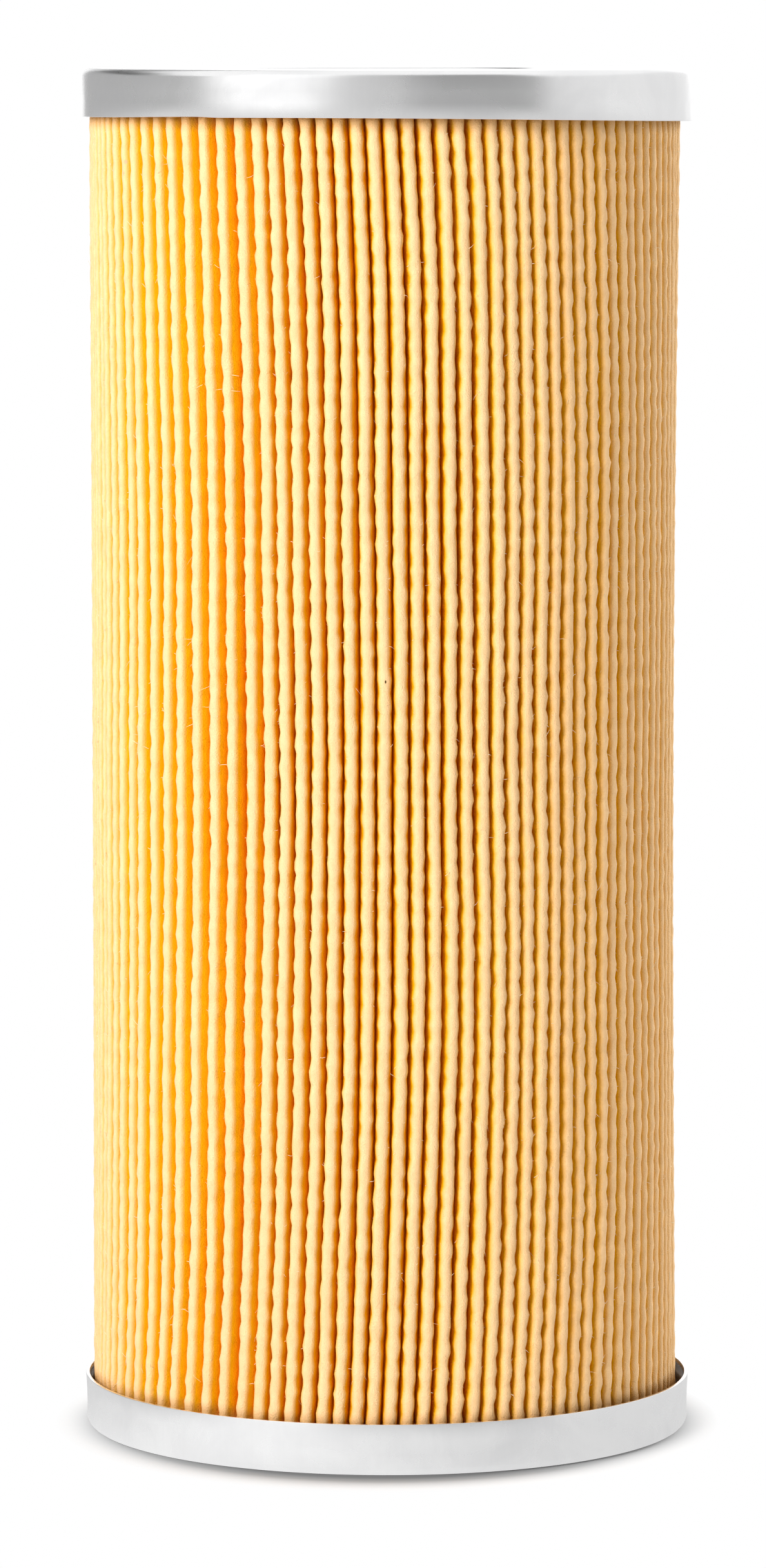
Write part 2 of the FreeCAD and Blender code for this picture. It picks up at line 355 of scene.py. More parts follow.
mottle, given, result = start_group("mottle", "Grains Per Metre", 3000.0, ["Clouds", "Grain"])
cloud_scale = reckon(mottle, "MULTIPLY", given["Grains Per Metre"], 0.09)
clouds = noise(mottle, given["Place"], cloud_scale, 4.0, 0.6)
grains = noise(mottle, given["Place"], given["Grains Per Metre"], 3.0, 0.7)
mottle.links.new(spread(mottle, clouds, 0.34, 0.66), result["Clouds"])
mottle.links.new(spread(mottle, grains, 0.3, 0.7), result["Grain"])

adhesive, tree, shader, place = start_finish(
    "adhesive", Roughness=0.5, Coat_Weight=0.15, Coat_Roughness=0.3
)
marks = use_group(tree, mottle, {"Place": place, "Grains Per Metre": 1500.0})
greys = tone(tree, marks["Clouds"], (0.08, 0.078, 0.075), (0.15, 0.145, 0.14))
tree.links.new(greys, shader.inputs["Base Color"])
tree.links.new(spread(tree, marks["Grain"], 0.0, 1.0, 0.4, 0.62), shader.inputs["Roughness"])
add_relief(tree, shader, 0.5, 0.1, marks["Clouds"])


def potting(seed, shade_film_rise):
    """One ring of set adhesive, with a dark film up the skirt as painted shade. The skin is uneven by
    0.2 mm.
    """
    mesh = turned_ring(
        [
            (TUBE_RADIUS, SHEET, 0.0),
            (47.9, SHEET, 0.0),
            (49.08, 1.9, 0.0),
            (SHADE_FILM_RADIUS, GLUE_TOP + shade_film_rise, 0.0),
            (49.02, GLUE_TOP + 0.9, 0.0),
            (48.8, GLUE_TOP + 0.1, 0.0),
            (48.3, GLUE_TOP - 0.1, 0.0),
            (46.0, GLUE_TOP, 0.0),
            (40.0, GLUE_TOP, 0.0),
            (28.0, GLUE_TOP - 0.1, 0.0),
            (TUBE_RADIUS, GLUE_TOP + 0.2, 0.0),
        ],
        POTTING_STEPS,
    )
    chance = random.Random(seed)
    swells = []
    for count in (2, 5, 11, 23, 37):
        swells.append((count, chance.uniform(0.0, 6.28), SKIN_SWELL / math.sqrt(count)))
    for vert in mesh.verts:
        if vert.co.z > SKIN_FROM * MM:
            turn = turn_from_front(vert.co.x, vert.co.y)
            swell = sum(size * math.sin(count * turn + start) for count, start, size in swells)
            vert.co.z += swell * MM
    return mesh


# How far each cap's dark film, painted shade inside the rim, reaches up its skirt.
for end, seed, shade_film_rise in (("bottom", 11, 3.2), ("top", 12, 1.8)):
    ring = potting(seed, shade_film_rise)
    if end == "top":
        stand_upside_down(ring)
    finished_piece(f"{end}_potting", ring, adhesive, f"{end}_glue")


# Centre tube. The core that the pleats press on: thin sheet with staggered rows of round holes
# punched in it, rolled up and stood between the two plates, over their collars.
TUBE_BORE = 24.7
HOLE_RADIUS = 2.0
HOLE_COLUMNS = 24
HOLE_PAIRS = 18
HOLE_ROW = 5.7
SAME_SPOT = 0.01

rolled_sheet = steel_finish(
    "rolled_sheet", (0.42, 0.43, 0.44), (0.56, 0.57, 0.58), 0.42, 1500.0, 0.03
)


def only_verts(parts):
    """The vertices among the parts that an operator gives back."""
    return [part for part in parts if isinstance(part, bmesh.types.BMVert)]


def copy_in_steps(mesh, copies, step, angle=0.0):
    """Copies everything in the mesh, each copy a step further on. An angle is shared out."""
    bmesh.ops.spin(
        mesh,
        geom=mesh.verts[:] + mesh.edges[:] + mesh.faces[:],
        axis=(0.0, 0.0, 1.0),
        dvec=step,
        angle=angle,
        steps=copies,
        use_duplicate=True,
    )


# One hole in its own cell of the flat sheet, in mm. The cell's edge is drawn out from the hole's,
# and around_cell gives its points clockwise from the top, in quarters and halves of the cell.
tube_middle = (TUBE_BORE + TUBE_RADIUS) / 2
hole_column = 2 * math.pi * tube_middle / HOLE_COLUMNS
around_cell = [(0, 1), (1, 1), (2, 1), (2, 0), (2, -1), (1, -1)]
around_cell += [(0, -1), (-1, -1), (-2, -1), (-2, 0), (-2, 1), (-1, 1)]
hole_sides = len(around_cell)

tube = bmesh.new()
bmesh.ops.create_circle(tube, segments=hole_sides, radius=HOLE_RADIUS)
bmesh.ops.rotate(tube, verts=tube.verts[:], matrix=Matrix.Rotation(math.pi / 2, 3, "X"))
rim = sorted(tube.verts, key=lambda vert: math.atan2(vert.co.z, vert.co.x), reverse=True)
hole_top = Vector((0.0, 0.0, HOLE_RADIUS))
topmost = min(range(hole_sides), key=lambda i: (rim[i].co - hole_top).length)
rim = rim[topmost:] + rim[:topmost]
cell_edge = only_verts(bmesh.ops.extrude_edge_only(tube, edges=tube.edges[:])["geom"])
for vert, (across, up) in zip(rim, around_cell):
    matched = min(cell_edge, key=lambda other: (other.co - vert.co).length)
    cell_edge.remove(matched)
    matched.co = Vector((across * hole_column / 4, 0.0, up * HOLE_ROW / 2))

for copies, across, up in (
    (HOLE_COLUMNS - 1, hole_column, 0.0),
    (1, hole_column / 2, HOLE_ROW),
    (HOLE_PAIRS - 1, 0.0, 2 * HOLE_ROW),
):
    copy_in_steps(tube, copies, (across, 0.0, up))
    bmesh.ops.remove_doubles(tube, verts=tube.verts[:], dist=SAME_SPOT)

# The holes stop short of both ends, and a plain band goes on from them to each plate.
lowest = min(vert.co.z for vert in tube.verts)
highest = max(vert.co.z for vert in tube.verts)
to_the_middle = (ELEMENT_HEIGHT - lowest - highest) / 2
bmesh.ops.translate(tube, verts=tube.verts[:], vec=(0.0, 0.0, to_the_middle))
plain = (ELEMENT_HEIGHT - (highest - lowest)) / 2
for end, stop in ((plain, SHEET), (ELEMENT_HEIGHT - plain, ELEMENT_HEIGHT - SHEET)):
    last = [edge for edge in tube.edges if all(abs(vert.co.z - end) < SAME_SPOT for vert in edge.verts)]
    for vert in only_verts(bmesh.ops.extrude_edge_only(tube, edges=last)["geom"]):
        vert.co.z = stop
bmesh.ops.recalc_face_normals(tube, faces=tube.faces[:])
bmesh.ops.solidify(tube, geom=tube.faces[:], thickness=TUBE_RADIUS - TUBE_BORE)

depths = [vert.co.y for vert in tube.verts]
inner_face, outer_face = min(depths), max(depths)
for vert in tube.verts:
    turn = vert.co.x / tube_middle
    rise = vert.co.y - inner_face
    radius = TUBE_BORE + (TUBE_RADIUS - TUBE_BORE) * rise / (outer_face - inner_face)
    vert.co = Vector((radius * math.sin(turn), -radius * math.cos(turn), vert.co.z)) * MM
bmesh.ops.remove_doubles(tube, verts=tube.verts[:], dist=SAME_SPOT * MM)
finished_piece("perforated_tube", tube, rolled_sheet, "centre_tube")


# Filter media. One long sheet of resin-impregnated paper, corrugated across its length, folded
# into 112 pleats and closed to a ring. The folds wander and crowd a little, the pack is drawn in
# at its waist, and the corrugation shows as beads, 4 mm apart, along each fold.
PLEATS = 112
PITCH = 2 * math.pi / PLEATS
CROWN = 48.2
CROWN_RISE = 0.75
CROWN_STEPS = 6
HALF_RIDGE = 0.97
NECK_RADIUS = 46.6
HALF_NECK = 1.10
WALL_FOOT = 46.0
HALF_GAP = 0.02
VALLEY = 26.5
INNER_FOLD = 25.8
PAPER = 0.7
HOLLOW_TOP = 47.0
HALF_HOLLOW = 0.42
MEDIA_LOW = 4.2
MEDIA_HIGH = ELEMENT_HEIGHT - MEDIA_LOW
MEDIA_ROWS = 199
SECTORS = 4

BEAD_LENGTH = 4.0
BEAD_SWELL = 0.115
BEAD_RISE = 0.06
ENDS_TURN = -2.34
WAIST = 0.4
SEAM_REACH = 0.35
PRESSED_FROM = 47.5
PRESSED_SHARE = 0.3
SEAM_ZONE = 40.0
HALF_SEAM = 0.75

CAP_SHADE_FROM = 102.2
CAP_SHADE_TO = 104.7
CAP_SHADE_UNEVEN = 0.6

chance = np.random.default_rng(7)
pleat_height = np.clip(chance.normal(0.0, 0.08, PLEATS), -0.2, 0.16)
pleat_side = np.clip(chance.normal(0.0, 0.045, PLEATS), -0.1, 0.1)
pleat_width = np.clip(chance.normal(1.0, 0.025, PLEATS), 0.95, 1.05)
bead_start = np.clip(chance.normal(0.0, 0.5, PLEATS), -1.2, 1.2)

# The folds are crowded aside by so many degrees at these turns from the front.
crowding_at = np.radians([-180.0, -59.5, -49.8, -40.2, -24.1, -1.6, 17.7, 33.8, 53.0, 72.3, 180.0])
crowding_by = np.radians([0.0, -8.5, -7.3, -5.1, -0.2, 0.2, 0.6, 0.45, 0.3, -0.7, 0.0])


def wave(z, length, start):
    """A wave up the paper, of a length in mm."""
    return np.sin(2 * math.pi * z / length + start)


def settle(points):
    """Moves points of the ideal pack, in mm, to where the real paper lies."""
    x, y, z = points.T
    radius = np.hypot(x, y)
    turn = np.arctan2(x, -y)
    pleat = np.round(turn / PITCH)
    middle = pleat * PITCH
    index = pleat.astype(int) % PLEATS
    across = radius * np.sin(turn - middle)
    outward = np.clip((radius - VALLEY) / (WALL_FOOT - VALLEY), 0.0, 1.0)
    ridge = np.clip((radius - WALL_FOOT) / (CROWN - CROWN_RISE - WALL_FOOT), 0.0, 1.0)
    along = np.clip((z - MEDIA_LOW) / (MEDIA_HIGH - MEDIA_LOW), 0.0, 1.0)

    # The adhesive holds every fold at both ends, and the clip holds the fold at the seam.
    to_an_end = np.abs(2 * along - 1.0)
    held = 1.0 - to_an_end**8
    seam = np.abs(np.abs(turn) - math.pi) < 0.6 * PITCH
    free = np.where(seam, 0.0, 1.0)

    # Every fold swells at its beads, which keep step with their neighbours only roughly.
    stray = bead_start[index] + 0.9 * np.sin(2 * middle + 0.4)
    stray += 0.7 * wave(z, 97.0, 3 * middle) + 0.8 * wave(z, 17.3, 1.9 * index)
    bead = wave(z, BEAD_LENGTH, stray)
    bead *= 0.92 + 0.5 * wave(z, 13.7, 2.3 * index) * wave(z, 31.0, 1.7 * index)
    widened = across * (pleat_width[index] - 1.0 + BEAD_SWELL * bead)

    # It wanders sideways as a whole, and a little with each bead, most of all on the right.
    sideways = 0.16 * wave(z, 118.0, 3.0 * middle + 2.9)
    sideways += 0.10 * wave(z, 61.0, -5.0 * middle + 1.1)
    sideways += 0.06 * wave(z, 23.0, 9.0 * bead_start[index])
    sideways += 0.03 * wave(z, 9.1, 5.0 * bead_start[index])
    sway_start = 2.0 + 3.0 * bead_start[index] + 0.9 * wave(z, 19.1, 2.7 * index)
    sway = 0.045 + 0.075 * np.clip(np.sin(middle), 0.0, 1.0)
    leaning = sway * wave(z, BEAD_LENGTH, sway_start)
    moved = (sideways * held + pleat_side[index] + leaning) * ridge + widened * np.sqrt(ridge)

    # Both ends of the pack are turned a little to the left, though not at the seam.
    off_the_seam = 1 - np.exp(-(((math.pi - np.abs(turn)) / SEAM_REACH) ** 2))
    ends_turn = ENDS_TURN * to_an_end**2.9 * off_the_seam
    shift = ends_turn * outward + moved * free
    crowded = np.interp(middle + (turn - middle) * (1 - ridge), crowding_at, crowding_by)
    turn = turn + crowded * np.where(seam, outward, 1.0) + shift / np.maximum(radius, 1.0)

    # It is drawn in at its waist, and stands a little to the left.
    lift = (pleat_height[index] * held + BEAD_RISE * bead) * free * ridge
    lift -= WAIST * np.sin(math.pi * along)
    radius = radius + lift * outward**4
    aside = -(0.34 + 0.3 * np.sin(math.pi * along)) * outward**2
    return np.stack([radius * np.sin(turn) + aside, -radius * np.cos(turn), z], 1)


def raise_section(mesh, rows):
    """Raises a closed section from one end of the paper to the other, in rows, and closes it."""
    bmesh.ops.translate(mesh, verts=mesh.verts[:], vec=(0.0, 0.0, MEDIA_LOW))
    top = only_verts(bmesh.ops.extrude_edge_only(mesh, edges=mesh.edges[:])["geom"])
    bmesh.ops.translate(mesh, verts=top, vec=(0.0, 0.0, MEDIA_HIGH - MEDIA_LOW))
    uprights = [edge for edge in mesh.edges if abs(edge.verts[0].co.z - edge.verts[1].co.z) > 1.0]
    bmesh.ops.subdivide_edges(mesh, edges=uprights, cuts=rows - 1)
    bmesh.ops.holes_fill(mesh, edges=[edge for edge in mesh.edges if edge.is_boundary], sides=0)


def media_sector(first):
    """A run of the ideal pleats: the sheet's outer and inner lines, closed and raised in rows."""
    mesh = bmesh.new()
    centre = first * PITCH
    before, after = centre - PITCH / 2, centre + PITCH / 2
    half_wall = WALL_FOOT * math.sin(PITCH / 2) - HALF_GAP
    half_slot = VALLEY * math.sin(PITCH / 2) - PAPER
    crown = []
    for step in range(CROWN_STEPS + 1):
        lean = math.pi * (step / CROWN_STEPS - 0.5)
        height = CROWN - CROWN_RISE + CROWN_RISE * math.cos(lean)
        crown.append((height, HALF_RIDGE * math.sin(lean), centre))
    outer_line = [
        (VALLEY, 0.0, before),
        (WALL_FOOT, -half_wall, centre),
        (NECK_RADIUS, -HALF_NECK, centre),
        *crown,
        (NECK_RADIUS, HALF_NECK, centre),
        (WALL_FOOT, half_wall, centre),
        (VALLEY, 0.0, after),
    ]
    inner_line = [
        (INNER_FOLD, 0.0, before),
        (VALLEY, -half_slot, centre),
        (HOLLOW_TOP, -HALF_HOLLOW, centre),
        (HOLLOW_TOP, HALF_HOLLOW, centre),
        (VALLEY, half_slot, centre),
        (INNER_FOLD, 0.0, after),
    ]
    for line in (outer_line, inner_line):
        verts = []
        for radius, across, turn in line:
            spot = Matrix.Rotation(turn, 3, "Z") @ Vector((across, -radius, 0.0))
            verts.append(mesh.verts.new(spot))
        for vert, following in zip(verts, verts[1:]):
            mesh.edges.new((vert, following))
    copies = PLEATS // SECTORS - 1
    copy_in_steps(mesh, copies, (0.0, 0.0, 0.0), PITCH * copies)
    bmesh.ops.remove_doubles(mesh, verts=mesh.verts[:], dist=0.001)
    ends = [vert for vert in mesh.verts if len(vert.link_edges) == 1]
    ends.sort(key=lambda vert: math.atan2(vert.co.y, vert.co.x))
    mesh.edges.new(ends[:2])
    mesh.edges.new(ends[2:])
    raise_section(mesh, MEDIA_ROWS)
    return mesh


# The paper is paler at the folds and a deeper yellow the further its surface lies below them:
# painted glow and shade of the light caught between the pleats.
filter_paper, tree, shader, place = start_finish(
    "filter_paper", Roughness=0.9, Specular_IOR_Level=0.08
)
marks = use_group(tree, mottle, {"Place": place, "Grains Per Metre": 4200.0})
depth = add_node(tree, "ShaderNodeAttribute", attribute_name="fold_depth").outputs["Fac"]
# Painted glow and shade: the colour deepens and darkens with depth below the crowns.
painted_depth_glow = add_node(tree, "ShaderNodeValToRGB", {0: spread(tree, depth, 0.1, 2.3)})
stops = painted_depth_glow.color_ramp.elements
stops[0].color = (0.98, 0.655, 0.345, 1.0)
stops[1].color = (0.88, 0.25, 0.002, 1.0)
stops.new(0.15).color = (0.97, 0.56, 0.155, 1.0)
stops.new(0.36).color = (0.97, 0.52, 0.004, 1.0)
clouded = tone(tree, marks["Clouds"], (0.94, 0.895, 0.84), (1.0, 1.0, 1.0))
inputs = {0: 1.0, 6: painted_depth_glow.outputs[0], 7: clouded}
mottled_glow_and_shade = add_node(tree, "ShaderNodeMix", inputs, data_type="RGBA", blend_type="MULTIPLY")

# Where the sheet goes down into the caps it is browner, with an uneven edge: painted shade under
# the rims of the caps.
height = add_node(tree, "ShaderNodeSeparateXYZ", {0: place}).outputs[2]
from_middle = reckon(tree, "SUBTRACT", height, ELEMENT_HEIGHT * MM / 2)
from_middle = reckon(tree, "ABSOLUTE", from_middle)
to_the_end = reckon(tree, "MULTIPLY_ADD", marks["Clouds"], CAP_SHADE_UNEVEN * MM, from_middle)
painted_cap_shade = spread(tree, to_the_end, CAP_SHADE_FROM * MM, CAP_SHADE_TO * MM, 0.0, 0.8)
paper_colour = tone(tree, painted_cap_shade, mottled_glow_and_shade.outputs[2], (0.55, 0.25, 0.06))


def marked(tree, place, colour, middle, size, mark):
    """The colour with a small mark on it, at a place and of a size in mm."""
    apart = reckon_vector(tree, "SUBTRACT", place, [value * MM for value in middle])
    apart = reckon_vector(tree, "MULTIPLY", apart, [1 / (value * MM) for value in size])
    distance = reckon_vector(tree, "LENGTH", apart)
    return tone(tree, spread(tree, distance, 1.0, 0.6), colour, mark)


# One dark speck at the front, and a few pale brown stains high up on the left.
for middle, size, mark in (
    ((-0.24, -48.0, 127.2), (0.17, 1.5, 0.32), (0.10, 0.055, 0.015)),
    ((-42.9, -22.0, 209.6), (0.5, 0.22, 0.40), (0.80, 0.48, 0.27)),
    ((-43.1, -21.5, 208.3), (0.5, 0.25, 0.55), (0.76, 0.45, 0.25)),
    ((-42.0, -23.8, 208.7), (0.5, 0.25, 0.45), (0.78, 0.47, 0.26)),
    ((-42.1, -23.6, 206.9), (0.5, 0.20, 0.35), (0.80, 0.48, 0.27)),
):
    paper_colour = marked(tree, place, paper_colour, middle, size, mark)
tree.links.new(paper_colour, shader.inputs["Base Color"])
felt = reckon(tree, "MULTIPLY_ADD", marks["Clouds"], 0.8, marks["Grain"])
add_relief(tree, shader, 0.9, 0.10, felt)

# The ring is too fine for one mesh, so it is made in four. The fold at the seam is pressed lower
# and narrower to go into its clip. Each point keeps its depth below the crowns, from which the
# finish paints glow and shade.
for sector in range(SECTORS):
    first = PLEATS // (2 * SECTORS) - sector * PLEATS // SECTORS
    name = f"pleats_{sector + 1}"
    pleats = finished_piece(name, media_sector(first), filter_paper, "filter_media")
    spots = np.empty(len(pleats.data.vertices) * 3)
    pleats.data.vertices.foreach_get("co", spots)
    spots = spots.reshape(-1, 3)
    from_seam = np.abs(np.abs(np.arctan2(spots[:, 0], -spots[:, 1])) - math.pi)
    at_seam = from_seam < 0.5 * PITCH
    reach = np.hypot(spots[:, 0], spots[:, 1])
    pressed = at_seam & (reach > PRESSED_FROM)
    low = PRESSED_FROM + PRESSED_SHARE * (reach[pressed] - PRESSED_FROM)
    spots[pressed, 1] *= low / reach[pressed]
    spots[at_seam & (reach > SEAM_ZONE), 0] *= HALF_SEAM / HALF_RIDGE
    fold_depth = pleats.data.attributes.new("fold_depth", "FLOAT", "POINT")
    below_crown = np.clip(CROWN - reach, 0.0, 30.0)
    fold_depth.data.foreach_set("value", below_crown.astype(np.float32))
    pleats.data.vertices.foreach_set("co", (settle(spots) * MM).ravel())
    pleats.data.update()


# Loose fibres. Folding roughs up the paper, and single pale fibres stand off the folds. Each is a
# thin stem that tapers and has one bend in it.
FIBRES_IN_ROW = 75
FIBRE_ROWS = 90
FIBRES = FIBRES_IN_ROW * FIBRE_ROWS
FIBRE_STEP = 10.0
ROOT_DEPTH = 0.03

fibre_white, tree, shader, place = start_finish("fibre_white", Roughness=0.8, Specular_IOR_Level=0.3)
marks = use_group(tree, mottle, {"Place": place, "Grains Per Metre": 3000.0})
pale = tone(tree, marks["Clouds"], (0.90, 0.74, 0.48), (0.97, 0.86, 0.64))
tree.links.new(pale, shader.inputs["Base Color"])

fibres = bmesh.new()
bmesh.ops.create_cone(fibres, cap_ends=True, segments=3, radius1=0.5, radius2=0.3, depth=1.0)
uprights = [edge for edge in fibres.edges if abs(edge.verts[0].co.z - edge.verts[1].co.z) > 0.5]
bmesh.ops.subdivide_edges(fibres, edges=uprights, cuts=1)
copy_in_steps(fibres, FIBRES_IN_ROW - 1, (FIBRE_STEP, 0.0, 0.0))
copy_in_steps(fibres, FIBRE_ROWS - 1, (FIBRE_STEP * FIBRES_IN_ROW, 0.0, 0.0))

# The copies stand in one long line, which gives each its number. Then each goes to its own fold.
stem = np.array([vert.co for vert in fibres.verts])
number = np.round(stem[:, 0] / FIBRE_STEP).astype(int)
along = stem[:, 2] + 0.5
chance = np.random.default_rng(23)
side = chance.choice([-1.0, 1.0], FIBRES)[number]
fold = chance.integers(-PLEATS // 2 + 1, PLEATS // 2, FIBRES)[number]
root = chance.uniform(0.4, 0.94, FIBRES)[number]
length = np.clip(chance.gamma(2.5, 0.16, FIBRES), 0.15, 1.2)[number]
heading = chance.uniform(-1.1, 1.1, FIBRES)[number]
rise = chance.uniform(-0.1, 0.6, FIBRES)[number]
curl = chance.uniform(-0.6, 0.6, FIBRES)[number]
height = chance.uniform(MEDIA_LOW + 5.0, MEDIA_HIGH - 5.0, FIBRES)[number]
thick = chance.uniform(0.055, 0.10, FIBRES)[number]
across = side * (root + 0.75 * length * np.cos(heading) * along)
out = CROWN - CROWN_RISE * (1 - np.sqrt(1 - (root / HALF_RIDGE) ** 2)) - ROOT_DEPTH
out += rise * length * along + (stem[:, 0] - FIBRE_STEP * number) * thick
up = height + length * (np.sin(heading) * along + curl * along**2) + stem[:, 1] * thick
turn = fold * PITCH + across / out
spots = settle(np.stack([out * np.sin(turn), -out * np.cos(turn), up], 1)) * MM
for vert, spot in zip(fibres.verts, spots):
    vert.co = spot
finished_piece("loose_fibres", fibres, fibre_white, "filter_media")


# Seam clip. A strip of thin sheet folded over the two ends of the paper where the ring closes, at
# the back, and crimped at regular steps.
CLIP_HALF = 1.15
CLIP_TOP = 48.15
CLIP_FOOT = 43.2
CLIP_SHEET = 0.35
CLIP_ROWS = 150
CRIMP_STEP = 9.0
CRIMP_DEPTH = 0.05
CRIMP_FOOT = 44.0
CRIMP_TOP = 47.6

clip_sheet = steel_finish(
    "clip_sheet", (0.60, 0.60, 0.59), (0.72, 0.72, 0.71), 0.34, 3000.0, 0.02
)
clip = bmesh.new()
clip_inner = CLIP_HALF - CLIP_SHEET
clip_section = [
    (-CLIP_HALF, CLIP_FOOT, 0.1),
    (-CLIP_HALF, CLIP_TOP, 0.45),
    (CLIP_HALF, CLIP_TOP, 0.45),
    (CLIP_HALF, CLIP_FOOT, 0.1),
    (clip_inner, CLIP_FOOT, 0.1),
    (clip_inner, CLIP_TOP - CLIP_SHEET, 0.15),
    (-clip_inner, CLIP_TOP - CLIP_SHEET, 0.15),
    (-clip_inner, CLIP_FOOT, 0.1),
]
spots = [(across, out, 0.0) for across, out, rounding in clip_section]
draw_outline(clip, spots, [rounding for across, out, rounding in clip_section], 1.0)
raise_section(clip, CLIP_ROWS)
for vert in clip.verts:
    crimp = max(0.0, math.cos(2 * math.pi * vert.co.z / CRIMP_STEP)) ** 6
    if CRIMP_FOOT < vert.co.y < CRIMP_TOP:
        vert.co.x -= math.copysign(CRIMP_DEPTH * crimp, vert.co.x)
spots = settle(np.array([vert.co for vert in clip.verts]))
for vert, spot in zip(clip.verts, spots):
    vert.co = Vector(spot) * MM
finished_piece("crimped_clip", clip, clip_sheet, "seam_clip")


# Rubber bushes. Each is moulded in black nitrile rubber and bonded into a cap's collar. Its bore
# grips the spigot of the housing, with a lead-in at its mouth.
BUSH_BORE = 20.0
BUSH_RADIUS = COLLAR_BORE - 0.02
BUSH_RECESS = 0.6
BUSH_TOP = 7.6
BUSH_STEPS = 128
LEAD_IN_WIDTH = 0.9
LEAD_IN_DEPTH = 1.4

rubber, tree, shader, place = start_finish("rubber", Roughness=0.6, Specular_IOR_Level=0.4)
marks = use_group(tree, mottle, {"Place": place, "Grains Per Metre": 2600.0})
blacks = tone(tree, marks["Clouds"], (0.016, 0.016, 0.017), (0.038, 0.037, 0.036))
tree.links.new(blacks, shader.inputs["Base Color"])
tree.links.new(spread(tree, marks["Clouds"], 0.0, 1.0, 0.5, 0.72), shader.inputs["Roughness"])
add_relief(tree, shader, 0.4, 0.03, marks["Grain"])

bush_outline = [
    (BUSH_BORE + LEAD_IN_WIDTH, BUSH_RECESS, 0.3),
    (BUSH_RADIUS, BUSH_RECESS, 0.5),
    (BUSH_RADIUS, BUSH_TOP, 0.2),
    (BUSH_BORE, BUSH_TOP, 0.35),
    (BUSH_BORE, BUSH_RECESS + LEAD_IN_DEPTH, 0.4),
]
for end in ("bottom", "top"):
    bush = turned_ring(bush_outline, BUSH_STEPS)
    if end == "top":
        stand_upside_down(bush)
    finished_piece(f"{end}_seal", bush, rubber, f"{end}_bush")


# Floor. A plain white studio sweep. Close round the foot it is darkened as a painted shadow, and
# further off the camera sees it as white as the background. Bright metal sees it a little greyer, as
# painted shade, with a painted pool of light to the left of the front.
FLOOR_REACH = 12.0
SHADE_DEPTH = 0.88
SHADE_DARK_TO = 44.5
SHADE_LIGHT_FROM = 53.5
LIT_TO = 47.5
WHITE_FROM = 55.0
LIGHT_POOL = (-55.0, -74.0, 0.0)
LIGHT_POOL_BRIGHT_TO = 20.0
LIGHT_POOL_EDGE = 95.0


def white_share(tree, rays, for_camera):
    """How far a ray sees plain white. Reflected and refracted rays always do."""
    share = for_camera
    for kind in ("Is Glossy Ray", "Is Transmission Ray"):
        share = reckon(tree, "ADD", share, rays[kind])
    return share


floor_white = bpy.data.materials.new("floor_white")
tree = empty_tree(floor_white)
place = add_node(tree, "ShaderNodeTexCoord").outputs["Object"]
rays = add_node(tree, "ShaderNodeLightPath").outputs
away = reckon_vector(tree, "MULTIPLY", place, (1.0, SHADE_DEPTH, 1.0))
away = reckon_vector(tree, "LENGTH", away)
shade = spread(tree, away, SHADE_DARK_TO * MM, SHADE_LIGHT_FROM * MM)
shaded = tone(tree, shade, (0.20, 0.20, 0.20), (0.84, 0.84, 0.84))
card = add_node(tree, "ShaderNodeBsdfDiffuse", {"Color": shaded})

# A painted pool of light that only bright metal sees; away from it the floor shows greyer.
from_light_pool = reckon_vector(tree, "SUBTRACT", place, [value * MM for value in LIGHT_POOL])
from_light_pool = reckon_vector(tree, "LENGTH", from_light_pool)
light_pool = spread(tree, from_light_pool, LIGHT_POOL_BRIGHT_TO * MM, LIGHT_POOL_EDGE * MM, 1.0, 0.0)
bright = reckon(tree, "MAXIMUM", rays["Is Camera Ray"], light_pool)
pale = tone(tree, bright, (0.73, 0.73, 0.73), (1.0, 1.0, 1.0))
white = add_node(tree, "ShaderNodeEmission", {"Color": pale, "Strength": 1.0})

far_off = spread(tree, away, LIT_TO * MM, WHITE_FROM * MM)
share = white_share(tree, rays, reckon(tree, "MULTIPLY", rays["Is Camera Ray"], far_off))
laid = add_node(tree, "ShaderNodeMixShader", {0: share, 1: card.outputs[0], 2: white.outputs[0]})
add_node(tree, "ShaderNodeOutputMaterial", {"Surface": laid.outputs[0]})

floor_mesh = bmesh.new()
bmesh.ops.create_grid(floor_mesh, x_segments=2, y_segments=2, size=FLOOR_REACH)
make_object("floor", floor_mesh, floor_white)


# Studio. A white surround, a large soft lamp at the front left, a weak one above and one at the
# rear right. Seven upright cards stand out of the picture, and only the bright metal sees them.
LAMP_AIM = 0.11

world = bpy.data.worlds.new("surround")
bpy.context.scene.world = world
tree = empty_tree(world)
rays = add_node(tree, "ShaderNodeLightPath").outputs
share = white_share(tree, rays, rays["Is Camera Ray"])
around = add_node(tree, "ShaderNodeBackground", {"Color": (1.0, 1.0, 1.0, 1.0), "Strength": 0.31})
backdrop = add_node(tree, "ShaderNodeBackground", {"Color": (1.0, 1.0, 1.0, 1.0), "Strength": 1.0})
inputs = {0: share, 1: around.outputs[0], 2: backdrop.outputs[0]}
surround = add_node(tree, "ShaderNodeMixShader", inputs)
add_node(tree, "ShaderNodeOutputWorld", {"Surface": surround.outputs[0]})


def stand_at(turn, distance, height):
    """A place round the element in metres, with the turn in degrees from the front to the right."""
    turn = math.radians(turn)
    return Vector((distance * math.sin(turn), -distance * math.cos(turn), height))


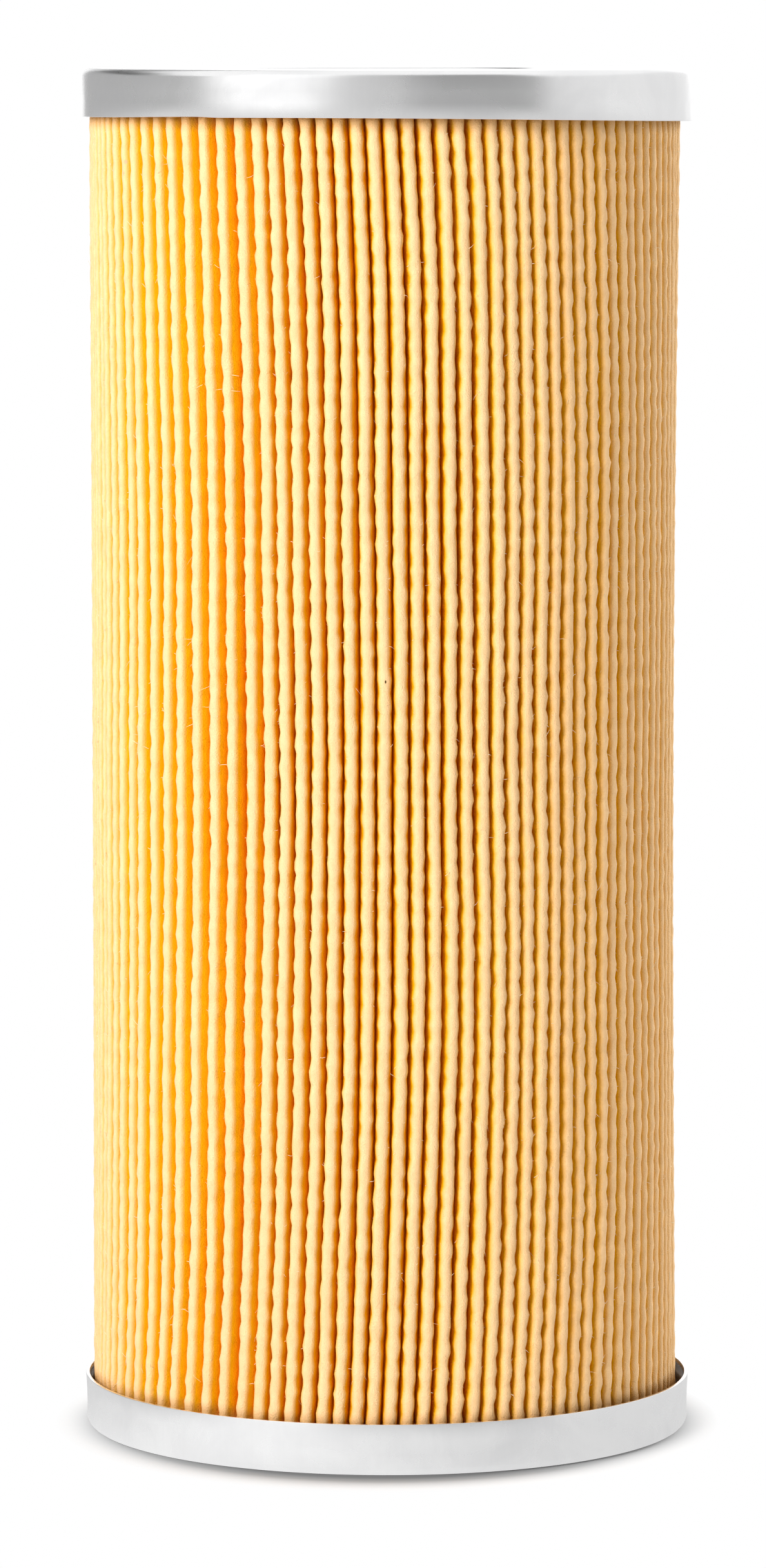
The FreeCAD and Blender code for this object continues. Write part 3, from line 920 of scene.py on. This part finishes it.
def soft_lamp(name, turn, distance, height, width, tall, power):
    """An area lamp of so many watts, turned to the middle of the element."""
    lamp = bpy.data.lights.new(name, "AREA")
    lamp.shape = "RECTANGLE"
    lamp.size = width
    lamp.size_y = tall
    lamp.energy = power
    spot = stand_at(turn, distance, height)
    aim = Vector((0.0, 0.0, LAMP_AIM)) - spot
    stand = bpy.data.objects.new(name, lamp)
    stand.location = spot
    stand.rotation_euler = aim.to_track_quat("-Z", "Y").to_euler()
    stand.visible_camera = False
    stand.visible_glossy = False
    bpy.context.scene.collection.objects.link(stand)


soft_lamp("front_left_lamp", -39.0, 1.4, 0.80, 0.8, 1.2, 30.3)
soft_lamp("overhead_lamp", 0.0, 0.05, 1.3, 1.3, 1.3, 3.0)
soft_lamp("right_rear_lamp", 130.0, 1.4, 0.6, 1.1, 1.1, 19.0)


def grey_card(name, turn, distance, height, width, tall, grey):
    """An upright card of one grey that shows in bright metal and throws no light or shadow."""
    mesh = bmesh.new()
    bmesh.ops.create_grid(mesh, x_segments=1, y_segments=1, size=0.5)
    bmesh.ops.scale(mesh, verts=mesh.verts[:], vec=(width, tall, 1.0))
    spot = stand_at(turn, distance, height)
    facing_in = (Vector((0.0, 0.0, height)) - spot).to_track_quat("-Z", "Y").to_matrix()
    bmesh.ops.rotate(mesh, verts=mesh.verts[:], matrix=facing_in)
    bmesh.ops.translate(mesh, verts=mesh.verts[:], vec=spot)
    paint = bpy.data.materials.new(name)
    tree = empty_tree(paint)
    glow = add_node(tree, "ShaderNodeEmission", {"Color": (grey, grey, grey, 1.0), "Strength": 1.0})
    add_node(tree, "ShaderNodeOutputMaterial", {"Surface": glow.outputs[0]})
    stand = make_object(name, mesh, paint)
    stand.visible_camera = False
    stand.visible_diffuse = False
    stand.visible_shadow = False
    stand.visible_transmission = False


grey_card("key_card", -43.5, 1.6, 1.1, 1.08, 3.0, 1.25)
grey_card("middle_card", -7.0, 1.6, 1.1, 0.75, 3.0, 0.60)
grey_card("right_card", 34.0, 1.6, 1.1, 1.64, 3.0, 0.34)
grey_card("far_right_card", 112.0, 1.6, 0.45, 2.95, 1.3, 0.86)
grey_card("left_card", -121.0, 1.6, 0.45, 3.7, 1.3, 0.44)
grey_card("left_flag", -140.0, 1.3, 1.00, 1.8, 0.6, 0.08)
grey_card("rear_card", 180.0, 2.0, 0.5, 2.4, 1.3, 1.25)


# Camera. A long lens a little above the top of the element, tipped down to take in the floor.
LOOK_DOWN = 5.9011
LOOK_LEFT = 0.0312

camera = bpy.data.cameras.new("camera")
camera.lens = 172.9
camera.sensor_width = 36.0
camera.sensor_fit = "AUTO"
camera.clip_start = 0.1
camera.clip_end = 60.0
viewpoint = bpy.data.objects.new("camera", camera)
viewpoint.location = (0.0, -1.2344, 0.23362)
viewpoint.rotation_euler = (math.radians(90.0 - LOOK_DOWN), 0.0, math.radians(LOOK_LEFT))
bpy.context.scene.collection.objects.link(viewpoint)
bpy.context.scene.camera = viewpoint
bpy.context.scene.view_settings.view_transform = "Standard"
